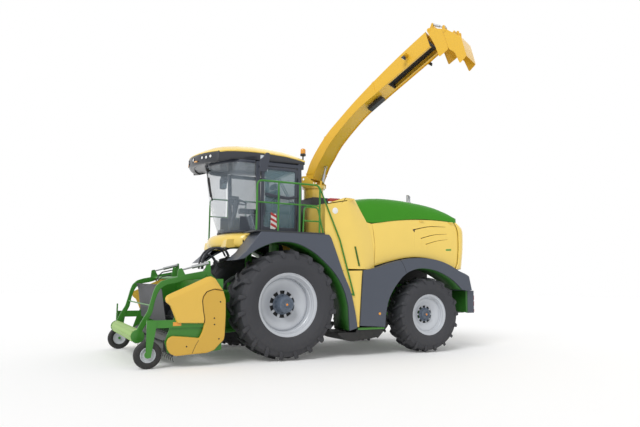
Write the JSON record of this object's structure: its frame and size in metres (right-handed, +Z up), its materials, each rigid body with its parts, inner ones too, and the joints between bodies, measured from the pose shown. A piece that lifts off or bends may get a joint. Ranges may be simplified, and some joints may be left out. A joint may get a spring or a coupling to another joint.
{
  "type": "forage harvester",
  "caption": "Self-propelled forage harvester with an open cab space, a turning and lifting crop spout, and a front pick-up header with auger, tined reel and press roller.",
  "frame": {"origin": "on the ground, under the middle of the front axle", "axes": "+Z up, -Y forward, +X to the machine's left side"},
  "size_m": [4.6301, 7.109, 6.242],
  "materials": {
    "yellow": "satin yellow bodywork",
    "spout_yellow": "satin deep yellow",
    "roof_yellow": "smooth yellow moulding",
    "green": "satin green",
    "pale_green": "dusty pale green",
    "blue_grey": "smooth dark blue-grey moulding",
    "black": "matt black chassis paint",
    "bumper_black": "matt black",
    "engine_grey": "cast grey",
    "silver": "silver-grey wheel paint",
    "tyre": "dark rubber",
    "glass": "tinted",
    "trim": "dark cab trim",
    "cylinder_black": "gloss black",
    "chrome": "polished rod"
  },
  "bodies": {
    "chassis": {"main_frame": "black", "frame_crosses": "black", "frame_brackets": "black", "tow_bracket": "black", "engine_block": "engine_grey", "crop_housing": "yellow", "front_axle": "black", "rear_axle": "black", "cab_body": "yellow", "cab_roof": "roof_yellow", "cab_glass": "glass", "cab_interior": "trim", "cab_fittings": "black", "platforms": "black", "railings": "green", "front_fenders": "blue_grey", "rear_fenders": "blue_grey", "side_panels": "yellow", "side_boxes": "black", "hood_top": "green", "hood_shell": "yellow", "rear_bumper": "bumper_black", "exhaust_pipe": "black", "spout_base": "spout_yellow"},
    "wheel_front_left": {"tyre_front_left": "tyre", "rim_front_left": "silver"},
    "wheel_front_right": {"tyre_front_right": "tyre", "rim_front_right": "silver"},
    "knuckle_left": {"knuckle_left": "black"},
    "knuckle_right": {"knuckle_right": "black"},
    "wheel_rear_left": {"tyre_rear_left": "tyre", "rim_rear_left": "silver"},
    "wheel_rear_right": {"tyre_rear_right": "tyre", "rim_rear_right": "silver"},
    "cab_door": {"cab_door": "yellow"},
    "hood_door_left": {"hood_door_left": "yellow"},
    "hood_door_right": {"hood_door_right": "yellow"},
    "turntable": {"spout_turntable": "spout_yellow"},
    "spout": {"spout_arm": "spout_yellow"},
    "spout_tube": {"spout_tube": "cylinder_black"},
    "spout_rod": {"spout_rod": "chrome"},
    "flap": {"spout_flap": "spout_yellow"},
    "tip": {"spout_tip": "spout_yellow"},
    "flap_tube": {"flap_tube": "cylinder_black"},
    "flap_rod": {"flap_rod": "chrome"},
    "header": {"feeder_house": "green", "header_frame": "green", "header_covers": "yellow"},
    "lift_tubes": {"lift_tubes": "cylinder_black"},
    "lift_rods": {"lift_rods": "chrome"},
    "auger": {"auger": "pale_green"},
    "pickup_reel": {"pickup_reel": "pale_green"},
    "press_frame": {"press_frame": "pale_green"},
    "press_roller": {"press_roller": "pale_green"},
    "gauge_wheel_left": {"gauge_wheel_left": "tyre"},
    "gauge_wheel_right": {"gauge_wheel_right": "tyre"}
  },
  "joints": [
    {"name": "wheel_front_left", "type": "hinge", "parent": "chassis", "child": "wheel_front_left", "pos_m": [1.178, 0, 0.956], "axis": [1, 0, 0], "continuous": true},
    {"name": "wheel_front_right", "type": "hinge", "parent": "chassis", "child": "wheel_front_right", "pos_m": [-1.178, 0, 0.956], "axis": [1, 0, 0], "continuous": true},
    {"name": "steer_left", "type": "hinge", "parent": "chassis", "child": "knuckle_left", "pos_m": [0.79, 3.07, 0.732], "axis": [0, 0, 1], "range_deg": [-25, 25]},
    {"name": "steer_right", "type": "hinge", "parent": "chassis", "child": "knuckle_right", "pos_m": [-0.79, 3.07, 0.732], "axis": [0, 0, 1], "range_deg": [-25, 25]},
    {"name": "wheel_rear_left", "type": "hinge", "parent": "knuckle_left", "child": "wheel_rear_left", "pos_m": [1.15, 3.07, 0.732], "axis": [1, 0, 0], "continuous": true},
    {"name": "wheel_rear_right", "type": "hinge", "parent": "knuckle_right", "child": "wheel_rear_right", "pos_m": [-1.15, 3.07, 0.732], "axis": [1, 0, 0], "continuous": true},
    {"name": "cab_door", "type": "hinge", "parent": "chassis", "child": "cab_door", "pos_m": [0.868, 0.429, 2.9], "axis": [0, 0, 1], "range_deg": [0, 44]},
    {"name": "hood_door_left", "type": "hinge", "parent": "chassis", "child": "hood_door_left", "pos_m": [1.312, 3, 2.588], "axis": [0, -1, 0], "range_deg": [0, 60]},
    {"name": "hood_door_right", "type": "hinge", "parent": "chassis", "child": "hood_door_right", "pos_m": [-1.312, 3, 2.588], "axis": [0, 1, 0], "range_deg": [0, 60]},
    {"name": "spout_slew", "type": "hinge", "parent": "chassis", "child": "turntable", "pos_m": [0, 1.17, 3.29], "axis": [0, 0, 1], "range_deg": [-45, 165]},
    {"name": "spout_lift", "type": "hinge", "parent": "turntable", "child": "spout", "pos_m": [-0.08227, 1.1225, 3.45], "axis": [0.5, -0.866, 0], "range_deg": [-18, 6]},
    {"name": "spout_tube", "type": "hinge", "parent": "turntable", "child": "spout_tube", "pos_m": [0.1862, 1.2775, 3.395], "axis": [0.5, -0.866, 0], "range_deg": [-23, 8]},
    {"name": "spout_rod", "type": "slide", "parent": "spout_tube", "child": "spout_rod", "axis": [0.2068, 0.1194, 0.9711], "range_m": [-0.1, 0.035]},
    {"name": "spout_flap", "type": "hinge", "parent": "spout", "child": "flap", "pos_m": [2.31229, 2.505, 6.035], "axis": [0.5, -0.866, 0], "range_deg": [-25, 15]},
    {"name": "spout_tip", "type": "hinge", "parent": "flap", "child": "tip", "pos_m": [2.58509, 2.6625, 5.95], "axis": [0.5, -0.866, 0], "range_deg": [-25, 15]},
    {"name": "flap_tube", "type": "hinge", "parent": "spout", "child": "flap_tube", "pos_m": [2.30363, 2.5, 6.218], "axis": [0.5, -0.866, 0], "range_deg": [-17, 10]},
    {"name": "flap_rod", "type": "slide", "parent": "flap_tube", "child": "flap_rod", "axis": [0.7802, 0.4505, -0.4339], "range_m": [-0.042, 0.068]},
    {"name": "header_lift", "type": "hinge", "parent": "chassis", "child": "header", "pos_m": [0, -0.56, 1.12], "axis": [-1, 0, 0], "range_deg": [0, 15]},
    {"name": "lift_tubes", "type": "hinge", "parent": "chassis", "child": "lift_tubes", "pos_m": [0, -0.525, 0.48], "axis": [-1, 0, 0], "range_deg": [0, 14.3]},
    {"name": "lift_rods", "type": "slide", "parent": "lift_tubes", "child": "lift_rods", "axis": [0, -0.996, -0.0897], "range_m": [0, 0.17]},
    {"name": "auger_spin", "type": "hinge", "parent": "header", "child": "auger", "pos_m": [0, -1.52, 0.7], "axis": [1, 0, 0], "continuous": true},
    {"name": "reel_spin", "type": "hinge", "parent": "header", "child": "pickup_reel", "pos_m": [0, -1.96, 0.33], "axis": [1, 0, 0], "continuous": true},
    {"name": "press_lift", "type": "hinge", "parent": "header", "child": "press_frame", "pos_m": [0, -1.33, 1.425], "axis": [-1, 0, 0], "range_deg": [0, 35]},
    {"name": "roller_spin", "type": "hinge", "parent": "press_frame", "child": "press_roller", "pos_m": [0, -2.46, 0.47], "axis": [1, 0, 0], "continuous": true},
    {"name": "gauge_left", "type": "hinge", "parent": "header", "child": "gauge_wheel_left", "pos_m": [1.45, -2.357, 0.215], "axis": [1, 0, 0], "continuous": true},
    {"name": "gauge_right", "type": "hinge", "parent": "header", "child": "gauge_wheel_right", "pos_m": [-1.45, -2.357, 0.215], "axis": [1, 0, 0], "continuous": true}
  ],
  "couplings": [
    {"joint": "steer_right", "follows": "steer_left", "ratio": 1},
    {"joint": "spout_tube", "follows": "spout_lift", "ratio": 1.2353},
    {"joint": "spout_rod", "follows": "spout_lift", "m_per_rad": 0.307},
    {"joint": "spout_tip", "follows": "spout_flap", "ratio": 1},
    {"joint": "flap_tube", "follows": "spout_flap", "ratio": 0.657},
    {"joint": "flap_rod", "follows": "spout_flap", "m_per_rad": -0.1526},
    {"joint": "lift_tubes", "follows": "header_lift", "ratio": 0.9413},
    {"joint": "lift_rods", "follows": "header_lift", "m_per_rad": 0.6386}
  ]
}
